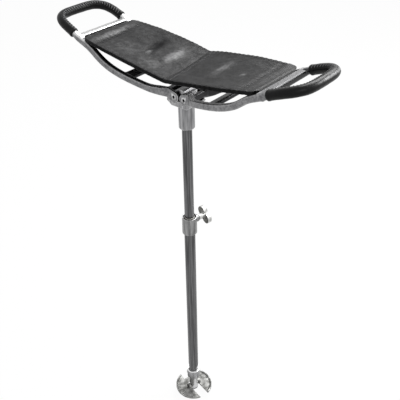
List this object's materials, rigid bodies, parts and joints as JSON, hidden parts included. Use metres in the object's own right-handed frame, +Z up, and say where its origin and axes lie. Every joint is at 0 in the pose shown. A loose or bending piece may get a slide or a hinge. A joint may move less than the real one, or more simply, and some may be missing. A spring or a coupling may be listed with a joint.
{
  "type": "shooting stick",
  "caption": "Telescopic shooting stick: folding cast frames with leather-wrapped hand loops carry a leather sling seat on a shaft with a wing-screw clamp, a tilting ground disc and a point.",
  "frame": {"origin": "on the shaft's axis at ground level, in the plane of the ground disc's underside", "axes": "+Z up along the shaft, X along the seat from hand loop to hand loop, +Y towards the seat's back edge"},
  "size_m": [0.5528, 0.135, 0.8885],
  "materials": {
    "cast": "satin, as cast and polished on its edges",
    "knob_cast": "bright, tumbled casting",
    "tube": "drawn, brushed lengthwise",
    "steel": "machined",
    "leather": "pebbled black hide with a soft sheen",
    "grip_leather": "smooth black hide, laced along its inner side",
    "nylon": "moulded, matt"
  },
  "bodies": {
    "lower_shaft": {"lower_tube": "tube", "liner_bush": "nylon", "clamp_collar": "cast", "collar_screw": "steel", "foot_ferrule": "cast", "ferrule_rivet": "steel", "spike": "steel", "disc_pin": "steel"},
    "ground_disc": {"ground_disc": "cast"},
    "guide": {"tube_guide_plug": "nylon"},
    "upper_shaft": {"upper_tube": "tube", "head_block": "cast", "left_hinge_pin": "steel", "right_hinge_pin": "steel", "socket_screw": "steel"},
    "left_frame": {"left_frame": "cast", "left_grip": "grip_leather", "seat_left": "leather"},
    "right_frame": {"right_frame": "cast", "right_grip": "grip_leather", "seat_right": "leather"},
    "clamp_shoe": {"pressure_shoe": "nylon"},
    "clamp_knob": {"clamp_screw": "steel", "wing_knob": "knob_cast", "knob_pin": "steel"}
  },
  "joints": [
    {"name": "height_slide", "type": "slide", "parent": "lower_shaft", "child": "guide", "axis": [0, 0, 1], "range_m": [-0.19, 0.078]},
    {"name": "seat_swivel", "type": "hinge", "parent": "guide", "child": "upper_shaft", "pos_m": [0, 0, 0.35], "axis": [0, 0, 1], "continuous": true},
    {"name": "left_fold", "type": "hinge", "parent": "upper_shaft", "child": "left_frame", "pos_m": [-0.0116, 0, 0.7655], "axis": [0, 1, 0], "range_deg": [0, 66], "deforming": ["seat_left"]},
    {"name": "right_fold", "type": "hinge", "parent": "upper_shaft", "child": "right_frame", "pos_m": [0.0116, 0, 0.7655], "axis": [0, -1, 0], "range_deg": [0, 66], "deforming": ["seat_right"]},
    {"name": "disc_tilt", "type": "hinge", "parent": "lower_shaft", "child": "ground_disc", "pos_m": [0, 0, 0.0055], "axis": [-0.225, -0.9744, 0], "range_deg": [-20, 40]},
    {"name": "clamp_slide", "type": "slide", "parent": "lower_shaft", "child": "clamp_shoe", "axis": [0.225, 0.9744, 0], "range_m": [0, 0.0015]},
    {"name": "knob_turn", "type": "hinge", "parent": "clamp_shoe", "child": "clamp_knob", "pos_m": [0, 0, 0.4905], "axis": [0.225, 0.9744, 0], "range_deg": [0, 540]}
  ],
  "couplings": [
    {"joint": "knob_turn", "follows": "clamp_slide", "rad_per_m": 6283.2}
  ]
}
